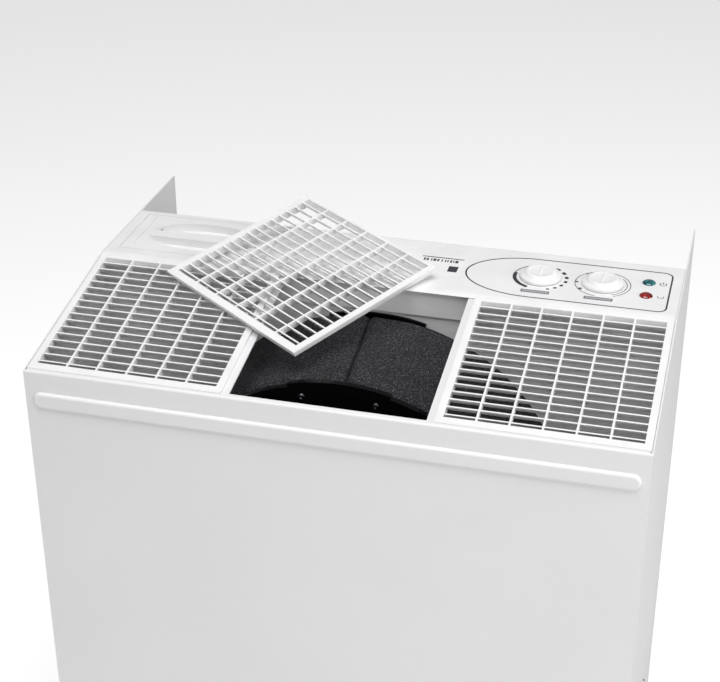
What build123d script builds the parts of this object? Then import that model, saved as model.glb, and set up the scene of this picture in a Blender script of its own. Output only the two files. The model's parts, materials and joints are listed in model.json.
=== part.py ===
from build123d import *

import math
import os

# A room-air clothes dryer: a sheet-steel cabinet with three lift-out outlet grilles on its
# sloping top, a control console behind them, and a fan drum, heat-pump circuit and water tank
# inside. Millimetres. +X is to the right seen from the front, +Y to the rear, +Z up. The origin
# is the centre of the cabinet's outline on the floor.

# ---- overall sizes
WIDTH = 610.0  # over the side panels
DEPTH = 420.0  # front face to the rear edges of the side panels
HEIGHT = 780.0  # floor to the console's top
SHEET = 1.5  # sheet steel of the cabinet
FOOT_H = 22.0  # feet under the base pan
FOOT_R = 15.0
FOOT_INSET = 35.0

# ---- sloping top with its three grilles
SLOPE_ANGLE = 9.82  # rises to the rear
FRONT_LIP = 4.5  # fold of the front panel, along the slope
LIP_GAP = 0.4  # lip to grille
GRILLE_LONG = 194.9  # front to rear, along the slope
REAR_GAP = 5.5  # grille to the console's front edge
GRILLE_GAP = 3.9  # between neighbouring grilles
SIDE_GAP = 0.6  # grille to side panel
FLANGE_T = 2.0  # grille flange
GRILLE_T = 9.5  # whole grille
SKIRT_INSET = 4.2  # grille body inside its flange
REAR_INSET = 1.0  # and at the rear, where no ledge carries it
COLUMNS = 6
BORDER_SIDE = 7.1  # flange edge to the first opening
BORDER_FRONT = 9.1
BORDER_REAR = 3.5
BAR_T = 2.0  # dividers that run front to rear
SLAT_T = 1.8
SLAT_PITCH = 11.29
SLAT_FIRST = 4.6  # centre of the front slat behind the front border
SLAT_TOP = 0.4  # slats' tops below the dividers'
SLAT_DEEP = 7.4
SLAT_LEAN = 30.0  # a slat's lower edge stands to the rear of its top, so the air leaves forwards
SEAT = 0.3  # gap under a lift-off piece, at rest
LEDGE = 3.5  # support under a grille's edge
LEDGE_T = 1.5
LOOSE_TURN = -32.1  # the lifted-out grille's turn on the slope
LOOSE_X = -80.7
LOOSE_V = 202.0

# ---- front panel
FOLD_R = 2.5
RIB_DROP = 31.0  # rib's centre below the top edge
RIB_H = 17.0
RIB_OUT = 3.5
RIB_END = 8.0  # rib's end to the panel's edge
TANK_W = 270.0  # opening for the water tank
TANK_H = 236.0
TANK_LEFT = 20.0  # from the panel's left edge
TANK_LOW = 14.0  # above the base pan

# ---- console
CONSOLE_D = 115.7
CONSOLE_T = 2.5
SKIRT = 31.0  # depth of the walls round the console
CONSOLE_R = 3.0
NOSE_OUT = 4.2  # rounded front lip of the console, over the grilles' rear ledge
NOSE_T = 2.0
NOSE_BACK = 5.0  # where its curve meets the flat top
LID_W = 160.0
LID_D = 89.0
LID_SIDE = 14.0  # lid's left edge to the panel's outer face
LID_BACK = 10.0  # lid's rear edge to the console's
LID_T = 2.0
LID_GAP = 0.5
GRIP_W = 124.0
GRIP_D = 66.0
GRIP_DEEP = 9.0
GRIP_BAR = 17.0
DIAL_SIDE = (145.3, 80.9)  # humidity and fan speed dials, from the right side
DIAL_BACK = 56.4  # dial centres behind the console's front edge
KNOB_SKIRT_R = 22.0
KNOB_SKIRT_H = 4.0
KNOB_CAP_R = 16.5
KNOB_H = 7.5
KNOB_GAP = 0.6
SHAFT_R = 3.0
RUN_FIT = 0.05  # radial running clearance
LENS_SIDE = 35.3  # lenses, from the right side
LENS_BACK = (41.0, 71.2)  # red, green
LENS_R = 6.8
LENS_STEM_R = 5.0
LENS_H = 2.6
SWITCH_DROP = 8.0  # switch bodies below the console's top

# ---- fan drum
DRUM_R = 195.0
DRUM_CLEAR = 12.0  # drum below the top edge of the front panel
DRUM_WALL = 3.0
DRUM_FRONT = 57.0  # behind the front face
RING_FRONT = 50.0
RING_T = 3.0
RING_R = DRUM_R + 9.0
RING_BORE = DRUM_R - 30.0
RAISED_R = DRUM_R + 12.5
RAISED_ANGLE = 29.0
RING_SCREWS = 16
RING_SCREW_R = DRUM_R - 5.0
FOAM_T = 12.0
FOAM_LONG = 144.0
FOAM_SEAM = 2.0
BULKHEAD_HOLE_R = DRUM_R - 15.0
MOTOR_R = 48.0
MOTOR_LONG = 62.0
MOTOR_SHAFT_R = 5.0
FAN_HUB_R = 55.0
FAN_R = DRUM_R - 11.0
FAN_BLADES = 7
FAN_LONG = 56.0
FAN_GAP = 4.0
ARM_W = 22.0

# ---- heat exchangers, behind the drum
COIL_W = WIDTH - 180.0
COIL_H = 380.0
COIL_D = 40.0
COIL_GAP = 10.0
COIL_FLOOR = 30.0  # fins above the shelf
FINS = 44
FIN_T = 0.6
TUBE_ROWS = 10
TUBE_R = 5.0
TUBE_FIT = 0.1
END_PLATE_OUT = 4.0
COIL_FRONT = 3.0  # first fin behind the bulkhead
SHELF_DROP = 34.5  # shelf below the drum
TUBE_OUT = 12.0  # coil connections past the bends
TRAY_WALL_H = 18.0
SPOUT_BACK = 18.0  # spout behind the bulkhead
SPOUT_R = 8.0
PIPE_R = 4.0
CAP_R = 1.5

# ---- machine compartment
COMP_SIDE = 135.0  # compressor's centre, from the right side
COMP_BACK = 215.0
COMP_R = 62.0
COMP_H = 190.0
COMP_PLATE = 150.0
MOUNT_H = 22.0
MOUNT_R = 11.0
TANK_D = 190.0
TANK_WALL = 2.5
TANK_GAP = 1.0
FLOAT_PIN_R = 2.0
FLOAT_BACK = 45.0  # float pin in front of the tank's rear
FLOAT_DROP = 32.0  # and below its rim
HANDLE_DROP = 12.0

# ---- rear
INLET_W = WIDTH - 150.0
INLET_H = 390.0
FILTER_T = 8.0
FILTER_OFF = 12.0  # filter behind the rear panel, clear of what lies on the console
FILTER_RIM = 14.0
RAIL_T = 2.0
WALL_RAIL_Z = 560.0
WALL_RAIL_H = 50.0
WALL_HOLES = 400.0
WALL_HOLE_R = 4.5
SCREW_BACK = (60.0, 260.0)  # side screws behind the front face
SCREW_UP = (40.0, 250.0)  # and above the base pan
SCREW_R = 2.0
SCREW_HEAD_R = 4.5
SCREW_HEAD_H = 2.0
GLAND_R = 9.0
GLAND_BORE_R = 4.0
GLAND_OUT = 9.0
GLAND_IN = 6.0
GLAND_DOME = 8.0

# ---- worked out once
SLOPE = math.radians(SLOPE_ANGLE)
SLOPE_LONG = FRONT_LIP + LIP_GAP + GRILLE_LONG + REAR_GAP
RUN = SLOPE_LONG * math.cos(SLOPE)
RISE = SLOPE_LONG * math.sin(SLOPE)
FRONT_TOP = HEIGHT - RISE
FRONT_Y = -(DEPTH - RIB_OUT) / 2
REAR_Y = FRONT_Y + DEPTH
INSIDE = WIDTH / 2 - SHEET  # inner face of a side panel
GRILLE_WIDE = (2 * INSIDE - 2 * SIDE_GAP - 2 * GRILLE_GAP) / 3
GRILLE_STEP = GRILLE_WIDE + GRILLE_GAP
SLATS = int((GRILLE_LONG - BORDER_FRONT - BORDER_REAR - SLAT_FIRST) // SLAT_PITCH) + 1
CONSOLE_Y = FRONT_Y + RUN
BACK_Y = CONSOLE_Y + CONSOLE_D  # rear face of the console and rear panel
PAN_Z = FOOT_H
SCREW_Z = [PAN_Z + up for up in SCREW_UP]
FAN_Z = FRONT_TOP - DRUM_R - DRUM_CLEAR
SHELF_Z = FAN_Z - DRUM_R - SHELF_DROP
BULKHEAD_Y = CONSOLE_Y + CONSOLE_T
COIL_Y0 = BULKHEAD_Y + SHEET + COIL_FRONT
COIL_Z0 = SHELF_Z + SHEET + COIL_FLOOR
TANK_X = -WIDTH / 2 + TANK_LEFT + TANK_W / 2
TANK_Z = PAN_Z + TANK_LOW
LID_X = -WIDTH / 2 + LID_SIDE + LID_W / 2
LID_Y = BACK_Y - LID_BACK - LID_D / 2
DIAL_Y = CONSOLE_Y + DIAL_BACK
FOAM_R = DRUM_R + FOAM_T
MOTOR_Y = FRONT_Y + RING_FRONT + 2 * RING_T
FAN_Y = MOTOR_Y + MOTOR_LONG + FAN_GAP
FILTER_Z = COIL_Z0 - 5.0
FILTER_W = INLET_W + 8.0
FILTER_H = INLET_H + 6.0
DIAL_X = [WIDTH / 2 - side for side in DIAL_SIDE]
LENS_X = WIDTH / 2 - LENS_SIDE
COMP_X = WIDTH / 2 - COMP_SIDE
TUBE_END = COIL_W / 2 + END_PLATE_OUT + SHEET + 3.0  # where a coil's bends begin
COIL_END_X = TUBE_END + TUBE_OUT
PIPE_X = INSIDE - 17.5
TRAY_X = COIL_W / 2 + END_PLATE_OUT + SHEET + 2.0
SPOUT_X = TANK_X + 40.0
COMP_Y = FRONT_Y + COMP_BACK
COMP_Z = PAN_Z + SHEET + MOUNT_H
COMP_TOP = COMP_Z + 3 + COMP_H
BOX_X0, BOX_X1 = INSIDE - 107.5, INSIDE - 11.5
TANK_Y0 = FRONT_Y + SHEET + 2.0
TANK_BODY_W = TANK_W - 16.0
TANK_BODY_H = TANK_H - 56.0
TANK_FLOOR = TANK_Z + 6.0
FILTER_Y = BACK_Y + FILTER_OFF
GLAND_X = -WIDTH / 2 + 75.0
GLAND_Z = PAN_Z + 70.0

os.makedirs("parts", exist_ok=True)


def save(shape, node):
    export_step(shape, "parts/" + node + ".step")


def block(x0, x1, y0, y1, z0, z1):
    """A box between two corners."""
    return Pos((x0 + x1) / 2, (y0 + y1) / 2, (z0 + z1) / 2) * Box(abs(x1 - x0), abs(y1 - y0), abs(z1 - z0))


def rod_x(x0, x1, y, z, r):
    return Pos((x0 + x1) / 2, y, z) * Rot(0, 90, 0) * Cylinder(r, x1 - x0)


def rod_y(x, y0, y1, z, r):
    return Pos(x, (y0 + y1) / 2, z) * Rot(90, 0, 0) * Cylinder(r, y1 - y0)


def rod_z(x, y, z0, z1, r):
    return Pos(x, y, (z0 + z1) / 2) * Cylinder(r, z1 - z0)


def mirrored(shape):
    return mirror(shape, about=Plane.YZ)


def group(shapes):
    return Compound(children=list(shapes))


def slope_plane(lift=0.0):
    """The grilles' plane: its x is +X, its y runs up the slope from the front edge."""
    normal = Vector(0, -math.sin(SLOPE), math.cos(SLOPE))
    return Plane(origin=Vector(0, FRONT_Y, FRONT_TOP) + normal * lift, x_dir=(1, 0, 0), z_dir=normal)


def side_outline(y0, y1, z0):
    """Side view of the cabinet between two depths, down to z0."""
    points = [(y0, z0), (y0, FRONT_TOP + (y0 - FRONT_Y) * math.tan(SLOPE)), (CONSOLE_Y, HEIGHT), (y1, HEIGHT), (y1, z0)]
    return points


def extruded_x(points, x0, x1):
    """A side-view outline given as (y, z), drawn out from x0 to x1."""
    plane = Plane(origin=(x0, 0, 0), x_dir=(0, 1, 0), z_dir=(1, 0, 0))
    return extrude(plane * make_face(Polyline(*points, close=True)), x1 - x0)


# ---- cabinet
def base_pan():
    pan = block(-INSIDE, INSIDE, FRONT_Y + SHEET, REAR_Y, PAN_Z, PAN_Z + SHEET)
    rim = 18.0
    pan += block(-INSIDE, INSIDE, REAR_Y - SHEET, REAR_Y, PAN_Z, PAN_Z + rim)
    wall = block(INSIDE - SHEET, INSIDE, FRONT_Y + SHEET, REAR_Y, PAN_Z, PAN_Z + rim)
    return pan + wall + mirrored(wall)


def feet():
    ys = (FRONT_Y + FOOT_INSET, REAR_Y - FOOT_INSET)
    pads = []
    for x in (-WIDTH / 2 + FOOT_INSET, WIDTH / 2 - FOOT_INSET):
        for y in ys:
            foot = Pos(x, y, 0) * Cylinder(FOOT_R, FOOT_H, align=(Align.CENTER, Align.CENTER, Align.MIN))
            pads.append(chamfer(foot.edges().group_by(Axis.Z)[0], 2.0))
    return group(pads)


def side_panel():
    """The right side panel; its rear part stands out behind the console."""
    panel = extruded_x(side_outline(FRONT_Y + SHEET, REAR_Y, PAN_Z), INSIDE, WIDTH / 2)
    for back in SCREW_BACK:
        for z in SCREW_Z:
            panel -= rod_x(INSIDE - 1, WIDTH / 2 + 1, FRONT_Y + back, z, SCREW_R + RUN_FIT)
    return panel


def side_screws():
    screws = []
    for back in SCREW_BACK:
        for z in SCREW_Z:
            y = FRONT_Y + back
            head = rod_x(WIDTH / 2, WIDTH / 2 + SCREW_HEAD_H, y, z, SCREW_HEAD_R)
            head = fillet(head.faces().sort_by(Axis.X)[-1].edges(), 1.4)
            screw = head + rod_x(INSIDE - 4, WIDTH / 2 + 0.5, y, z, SCREW_R)
            screws += [screw, mirrored(screw)]
    return group(screws)


def front_panel():
    c, s = math.cos(SLOPE), math.sin(SLOPE)
    lip_y, lip_z = FRONT_Y + FRONT_LIP * c, FRONT_TOP + FRONT_LIP * s
    inner = FRONT_TOP + SHEET * math.tan(SLOPE) - SHEET / c
    outline = [(FRONT_Y, PAN_Z), (FRONT_Y, FRONT_TOP), (lip_y, lip_z), (lip_y + SHEET * s, lip_z - SHEET * c),
               (FRONT_Y + SHEET, inner), (FRONT_Y + SHEET, PAN_Z)]
    panel = extruded_x(outline, -WIDTH / 2, WIDTH / 2)
    fold = panel.edges().filter_by(Axis.X).filter_by_position(Axis.Z, FRONT_TOP - 0.1, FRONT_TOP + 0.1)
    panel = fillet(fold.sort_by(Axis.Y)[0], FOLD_R)
    for side in (-1, 1):  # the lip stops short of the corners
        corner = side * WIDTH / 2
        panel -= block(corner - side * 2 * SHEET, corner + side, FRONT_Y + SHEET, FRONT_Y + 12, inner - 4, lip_z + 2)
    rib_plane = Plane(origin=(0, FRONT_Y, FRONT_TOP - RIB_DROP), x_dir=(1, 0, 0), z_dir=(0, -1, 0))
    long = WIDTH - 2 * RIB_END
    rib = extrude(rib_plane * SlotOverall(long, RIB_H), RIB_OUT)
    rib = fillet(rib.faces().sort_by(Axis.Y)[0].edges(), RIB_OUT * 0.9)
    panel += rib
    panel -= extrude(rib_plane.offset(-SHEET) * SlotOverall(long - 2 * SHEET, RIB_H - 2 * SHEET), RIB_OUT)
    hem = 12.0  # inward folds at the sides, below the grille frame
    fold_side = block(INSIDE - SHEET, INSIDE, FRONT_Y + SHEET, FRONT_Y + SHEET + hem, PAN_Z + 20, FRONT_TOP - 45)
    panel += fold_side + mirrored(fold_side)
    panel -= block(TANK_X - TANK_W / 2, TANK_X + TANK_W / 2, FRONT_Y - 1, FRONT_Y + SHEET + 1, TANK_Z, TANK_Z + TANK_H)
    return panel


def rear_panel():
    """Four flat sheets butted in one plane round the inlet: one below it, one at each side and one above."""
    panel = block(-INSIDE, INSIDE, BACK_Y - SHEET, BACK_Y, PAN_Z + SHEET, HEIGHT - SKIRT)
    panel -= block(INSIDE - SHEET, INSIDE, BACK_Y - 3, BACK_Y + 3, PAN_Z, PAN_Z + 19)
    panel -= block(-INSIDE, -INSIDE + SHEET, BACK_Y - 3, BACK_Y + 3, PAN_Z, PAN_Z + 19)
    panel -= rod_y(GLAND_X, BACK_Y - 3, BACK_Y + 3, GLAND_Z, GLAND_R + TUBE_FIT)
    side, low, high = INLET_W / 2, COIL_Z0, COIL_Z0 + INLET_H
    sheets = [(-INSIDE, INSIDE, PAN_Z, low), (-INSIDE, -side, low, HEIGHT), (side, INSIDE, low, HEIGHT),
              (-side, side, high, HEIGHT)]
    return group([panel & block(x0, x1, BACK_Y - 3, BACK_Y + 3, z0, z1) for x0, x1, z0, z1 in sheets])


def cable_gland():
    """The mains inlet gland, with no cord in it."""
    hexagon = Plane(origin=(GLAND_X, BACK_Y, GLAND_Z), x_dir=(1, 0, 0), z_dir=(0, 1, 0)) * RegularPolygon(13.0, 6)
    gland = extrude(hexagon, GLAND_OUT) + rod_y(GLAND_X, BACK_Y - GLAND_IN, BACK_Y, GLAND_Z, GLAND_R)
    dome = rod_y(GLAND_X, BACK_Y + GLAND_OUT, BACK_Y + GLAND_OUT + GLAND_DOME, GLAND_Z, 10.0)
    dome = fillet(dome.faces().sort_by(Axis.Y)[-1].edges(), 4.0)
    nut = extrude(Plane(origin=(GLAND_X, BACK_Y - SHEET, GLAND_Z), x_dir=(1, 0, 0), z_dir=(0, -1, 0))
                  * RegularPolygon(13.0, 6), 4.0)
    gland += dome + nut
    return gland - rod_y(GLAND_X, BACK_Y - 10, BACK_Y + 20, GLAND_Z, GLAND_BORE_R)


def wall_rail():
    """Cross rail that hangs the cabinet on a wall by two screws."""
    lip = 15.0
    rail = block(-INSIDE, INSIDE, REAR_Y - SHEET, REAR_Y, WALL_RAIL_Z, WALL_RAIL_Z + WALL_RAIL_H)
    rail += block(-INSIDE, INSIDE, REAR_Y - lip, REAR_Y, WALL_RAIL_Z, WALL_RAIL_Z + SHEET)
    rail += block(-INSIDE, INSIDE, REAR_Y - lip, REAR_Y, WALL_RAIL_Z + WALL_RAIL_H - SHEET, WALL_RAIL_Z + WALL_RAIL_H)
    for x in (-WALL_HOLES / 2, WALL_HOLES / 2):
        rail -= rod_y(x, REAR_Y - 3, REAR_Y + 1, WALL_RAIL_Z + WALL_RAIL_H / 2, WALL_HOLE_R)
    return rail


# ---- top frame and grilles
def grille_centre(index):
    """Centre of a seated grille on the slope plane, index -1, 0 or 1 from the left."""
    return index * GRILLE_STEP, FRONT_LIP + LIP_GAP + GRILLE_LONG / 2


def top_frame():
    top = slope_plane(-FLANGE_T - SEAT)
    under = LEDGE_T * math.tan(SLOPE)
    near = SHEET / math.cos(SLOPE) + FLANGE_T * math.tan(SLOPE)
    far = SLOPE_LONG - (FLANGE_T + SEAT) * math.tan(SLOPE) - under
    plate = extrude(top * Pos(0, (near + far) / 2) * Rectangle(2 * INSIDE, far - near), -LEDGE_T)
    for index in (-1, 0, 1):
        x, v = grille_centre(index)
        low = v - GRILLE_LONG / 2 + LEDGE
        wide = GRILLE_WIDE - 2 * LEDGE
        hole = top * Pos(x, (low + far) / 2) * Rectangle(wide, far - low)
        plate -= extrude(hole, 5, both=True)
    hang = 14.0
    back = FRONT_Y + SHEET
    apron_top = FRONT_TOP - 3.0
    apron = block(-INSIDE, INSIDE, back, back + SHEET, apron_top - hang, apron_top)
    return plate + apron


def leaning_slat(wide, y):
    """A slat whose top is centred at y and whose lower edge stands to the rear."""
    lean = (SLAT_DEEP - SLAT_TOP) * math.tan(math.radians(SLAT_LEAN))
    half = SLAT_T / 2
    section = [(y - half, -SLAT_TOP), (y + half, -SLAT_TOP), (y + half + lean, -SLAT_DEEP), (y - half + lean, -SLAT_DEEP)]
    return extruded_x(section, -wide / 2, wide / 2)


def grille():
    """One moulded outlet grille, lying on XY with its top face at z = 0, front at -Y."""
    half_l = GRILLE_LONG / 2
    flange = extrude(Rectangle(GRILLE_WIDE, GRILLE_LONG), -FLANGE_T)
    half_body = GRILLE_WIDE / 2 - SKIRT_INSET
    body = block(-half_body, half_body, -half_l + SKIRT_INSET, half_l - REAR_INSET, -GRILLE_T, 0)
    open_w = GRILLE_WIDE - 2 * BORDER_SIDE
    low, high = -half_l + BORDER_FRONT, half_l - BORDER_REAR
    shape = flange + body - block(-open_w / 2, open_w / 2, low, high, -GRILLE_T - 1, 1)
    bars = []
    for i in range(1, COLUMNS):
        x = -open_w / 2 + open_w * i / COLUMNS
        bars.append(block(x - BAR_T / 2, x + BAR_T / 2, low - 1, high + 1, -SLAT_DEEP, 0))
    for i in range(SLATS):
        bars.append(leaning_slat(open_w + 2, low + SLAT_FIRST + i * SLAT_PITCH))
    return shape + bars


def seated(shape, index):
    x, v = grille_centre(index)
    return slope_plane() * Pos(x, v, 0) * shape


def lifted_out(shape):
    return slope_plane(GRILLE_T + SEAT) * Pos(LOOSE_X, LOOSE_V, 0) * Rot(0, 0, LOOSE_TURN) * shape


# ---- console
def console():
    half = INSIDE - 0.2
    side = [(CONSOLE_Y, HEIGHT - SKIRT), (CONSOLE_Y, HEIGHT), (BACK_Y, HEIGHT), (BACK_Y, HEIGHT - SKIRT)]
    shell = extruded_x(side, -half, half)
    shell = fillet(shell.edges().filter_by(Axis.X).group_by(Axis.Z)[-1].sort_by(Axis.Y)[-1], CONSOLE_R)
    reach = NOSE_OUT + NOSE_BACK
    curve = (reach ** 2 + NOSE_T ** 2) / (2 * NOSE_T)  # radius that starts level with the top
    tip_y, end_y = CONSOLE_Y - NOSE_OUT, CONSOLE_Y + NOSE_BACK
    shell += block(-half, half, tip_y, CONSOLE_Y + 1, HEIGHT - NOSE_T, HEIGHT)
    above = block(-half - 1, half + 1, tip_y - 1, end_y, HEIGHT - NOSE_T, HEIGHT + 1)
    shell -= above - rod_x(-half - 2, half + 2, end_y, HEIGHT - curve, curve)
    shell -= block(-half + CONSOLE_T, half - CONSOLE_T, CONSOLE_Y + CONSOLE_T, BACK_Y - CONSOLE_T,
                   HEIGHT - 60, HEIGHT - CONSOLE_T)
    step = LID_T + LID_GAP
    rim = 5.0
    deck = block(LID_X - LID_W / 2 - 3, LID_X + LID_W / 2 + 3, LID_Y - LID_D / 2 - 3, LID_Y + LID_D / 2 + 3,
                 HEIGHT - step - CONSOLE_T, HEIGHT - 1)
    shell += deck
    shell -= block(LID_X - LID_W / 2 - LID_GAP, LID_X + LID_W / 2 + LID_GAP, LID_Y - LID_D / 2 - LID_GAP,
                   LID_Y + LID_D / 2 + LID_GAP, HEIGHT - step, HEIGHT + 1)
    shell -= block(LID_X - LID_W / 2 + rim, LID_X + LID_W / 2 - rim, LID_Y - LID_D / 2 + rim,
                   LID_Y + LID_D / 2 - rim, HEIGHT - 20, HEIGHT + 1)
    for x in DIAL_X:
        shell -= rod_z(x, DIAL_Y, HEIGHT - 8, HEIGHT + 1, SHAFT_R + 1.0)
    for back in LENS_BACK:
        shell -= rod_z(LENS_X, CONSOLE_Y + back, HEIGHT - 8, HEIGHT + 1, LENS_STEM_R + TUBE_FIT)
    return shell


def console_lid():
    """Lift-out lid with an oval finger grip: two crescents beside a straight bar."""
    plate = extrude(Plane(origin=(LID_X, LID_Y, HEIGHT - LID_T)) * RectangleRounded(LID_W, LID_D, 1.5), LID_T)
    wall = 1.6
    bowl_top = Plane(origin=(LID_X, LID_Y, HEIGHT))
    bowl = extrude(bowl_top * Ellipse(GRIP_W / 2 + wall, GRIP_D / 2 + wall), -GRIP_DEEP - wall)
    pocket = extrude(bowl_top * Ellipse(GRIP_W / 2, GRIP_D / 2), -GRIP_DEEP)
    pocket -= block(LID_X - GRIP_W, LID_X + GRIP_W, LID_Y - GRIP_BAR / 2, LID_Y + GRIP_BAR / 2, HEIGHT - 20, HEIGHT + 1)
    lid = plate + bowl - pocket
    line_x = LID_X - LID_W / 2 + 11.5  # the line sunk beside the lid's left edge
    lid -= block(line_x - 0.5, line_x + 0.5, LID_Y - LID_D / 2 + 6, LID_Y + LID_D / 2 - 3, HEIGHT - 0.8, HEIGHT + 1)
    return lid


def knob(x):
    base = HEIGHT + KNOB_GAP
    skirt = chamfer(rod_z(x, DIAL_Y, base, base + KNOB_SKIRT_H, KNOB_SKIRT_R).edges().group_by(Axis.Z)[-1], 1.2)
    cap = rod_z(x, DIAL_Y, base + 0.5, base + KNOB_H, KNOB_CAP_R)
    cap = fillet(cap.edges().group_by(Axis.Z)[-1], 2.0)
    return skirt + cap - rod_z(x, DIAL_Y, base - 1, base + KNOB_H - 3, SHAFT_R)


def knob_shaft(x):
    low = HEIGHT - SWITCH_DROP - 14
    return rod_z(x, DIAL_Y, low, HEIGHT + KNOB_GAP + KNOB_H - 3, SHAFT_R)


def switch_body(x, wide, deep, tall):
    """A rotary control under the console, on a plate that touches the console's underside."""
    top = HEIGHT - SWITCH_DROP
    body = block(x - wide / 2, x + wide / 2, DIAL_Y - deep / 2, DIAL_Y + deep / 2, top - tall, top)
    body += rod_z(x, DIAL_Y, top - 1, HEIGHT - CONSOLE_T, 6.0)
    return body - rod_z(x, DIAL_Y, top - 15, HEIGHT, SHAFT_R + RUN_FIT)


def lens(back):
    y = CONSOLE_Y + back
    dome = rod_z(LENS_X, y, HEIGHT, HEIGHT + LENS_H, LENS_R)
    dome = fillet(dome.edges().group_by(Axis.Z)[-1], LENS_H - 0.3)
    return dome + rod_z(LENS_X, y, HEIGHT - 10, HEIGHT + 1, LENS_STEM_R)


def indicator_board():
    y0, y1 = CONSOLE_Y + LENS_BACK[0] - 14, CONSOLE_Y + LENS_BACK[1] + 14
    board = block(LENS_X - 18, LENS_X + 18, y0, y1, HEIGHT - 11.6, HEIGHT - 10)
    for x in (LENS_X - 14, LENS_X + 14):
        for y in (y0 + 4, y1 - 4):
            board += rod_z(x, y, HEIGHT - 10.5, HEIGHT - CONSOLE_T, 2.5)
    return board


# ---- fan
def drum_ring(r_out, r_in, y0, y1):
    return rod_y(0, y0, y1, FAN_Z, r_out) - rod_y(0, y0 - 1, y1 + 1, FAN_Z, r_in)


def raised_wedge(y):
    """The sector on top of the drum in which its rims stand higher."""
    sides = [(300 * math.sin(math.radians(a)), -300 * math.cos(math.radians(a)))
             for a in (-RAISED_ANGLE / 2, RAISED_ANGLE / 2)]
    face = make_face(Polyline((0, 0), *sides, close=True))
    return extrude(Plane(origin=(0, y - 1, FAN_Z), x_dir=(1, 0, 0), z_dir=(0, 1, 0)) * face, 20)


def fan_shroud():
    y0 = FRONT_Y + DRUM_FRONT
    flange_y = BULKHEAD_Y - 3
    drum = drum_ring(DRUM_R, DRUM_R - DRUM_WALL, y0, BULKHEAD_Y) + drum_ring(
        DRUM_R + 8, DRUM_R - DRUM_WALL, flange_y, BULKHEAD_Y)
    return drum + (drum_ring(RAISED_R, DRUM_R + 6, flange_y, BULKHEAD_Y) & raised_wedge(flange_y))


def ring_screw_angles():
    return [360.0 * (i + 0.5) / RING_SCREWS for i in range(RING_SCREWS)]


def around(angle, r):
    """A point round the fan axis, angle from the top."""
    a = math.radians(angle)
    return r * math.sin(a), FAN_Z + r * math.cos(a)


def fan_front_ring():
    y0 = FRONT_Y + RING_FRONT
    y1 = FRONT_Y + DRUM_FRONT
    ring = drum_ring(RING_R, RING_BORE, y0, y0 + RING_T) + drum_ring(RING_R, DRUM_R + 6.5, y0, y1)
    ring += drum_ring(DRUM_R - DRUM_WALL, DRUM_R - 2 * DRUM_WALL, y0, y1) + drum_ring(
        DRUM_R, DRUM_R - 2 * DRUM_WALL, y0, y1)
    ring += drum_ring(RAISED_R, RING_R - 2, y0, y1 - 1) & raised_wedge(y0)
    for angle in ring_screw_angles():
        x, z = around(angle, RING_SCREW_R)
        ring -= rod_y(x, y0 - 1, y1 + 1, z, 1.6)
    return ring


def fan_ring_screws():
    y0 = FRONT_Y + RING_FRONT
    screws = []
    for angle in ring_screw_angles():
        x, z = around(angle, RING_SCREW_R)
        head = fillet(rod_y(x, y0 - 2.4, y0, z, 3.6).faces().sort_by(Axis.Y)[0].edges(), 1.6)
        screws.append(head + rod_y(x, y0 - 0.5, y0 + RING_T + 3, z, 1.5))
    return group(screws)


def foam_wrap():
    """Foam lagging round the drum, with its butt seam on top."""
    y0 = FRONT_Y + DRUM_FRONT + 0.3
    foam = drum_ring(FOAM_R, DRUM_R, y0, y0 + FOAM_LONG)
    return foam - block(-FOAM_SEAM / 2, FOAM_SEAM / 2, y0 - 1, y0 + FOAM_LONG + 1, FAN_Z, FAN_Z + 300)


def motor_bracket():
    y0 = FRONT_Y + RING_FRONT + RING_T
    disc = rod_y(0, y0, y0 + RING_T, FAN_Z, MOTOR_R + 10)
    arm = block(-RING_BORE - 12, RING_BORE + 12, y0, y0 + RING_T, FAN_Z - ARM_W / 2, FAN_Z + ARM_W / 2)
    across = block(-ARM_W / 2, ARM_W / 2, y0, y0 + RING_T, FAN_Z - RING_BORE - 12, FAN_Z + RING_BORE + 12)
    return disc + arm + across - rod_y(0, y0 - 1, y0 + 10, FAN_Z, 12)


def fan_motor():
    can = rod_y(0, MOTOR_Y, MOTOR_Y + MOTOR_LONG, FAN_Z, MOTOR_R)
    can = fillet(can.edges().filter_by(GeomType.CIRCLE), 4.0)
    return can - rod_y(0, MOTOR_Y - 1, MOTOR_Y + MOTOR_LONG + 1, FAN_Z, MOTOR_SHAFT_R + RUN_FIT)



def motor_shaft():
    return rod_y(0, MOTOR_Y + 4, FAN_Y + FAN_LONG - 6, FAN_Z, MOTOR_SHAFT_R)


def impeller():
    hub = rod_y(0, FAN_Y, FAN_Y + FAN_LONG, FAN_Z, FAN_HUB_R)
    hub = fillet(hub.faces().sort_by(Axis.Y)[-1].edges(), 8.0)
    hub -= rod_y(0, FAN_Y - 1, FAN_Y + FAN_LONG - 14, FAN_Z, FAN_HUB_R - 6)
    hub += rod_y(0, FAN_Y, FAN_Y + FAN_LONG - 8, FAN_Z, 14)
    hub -= rod_y(0, FAN_Y - 1, FAN_Y + FAN_LONG - 6, FAN_Z, MOTOR_SHAFT_R)
    mid = FAN_Y + FAN_LONG / 2
    long = FAN_R - FAN_HUB_R + 3
    blade = Pos(0, mid, FAN_Z) * Rot(0, 0, 32) * Pos(0, 0, FAN_HUB_R - 3 + long / 2) * Box(74, 2.4, long)
    blade &= rod_y(0, FAN_Y + 2, FAN_Y + FAN_LONG - 2, FAN_Z, FAN_R)
    blades = [Pos(0, 0, FAN_Z) * Rot(0, 360.0 * i / FAN_BLADES, 0) * Pos(0, 0, -FAN_Z) * blade
              for i in range(FAN_BLADES)]
    return hub + blades


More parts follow.
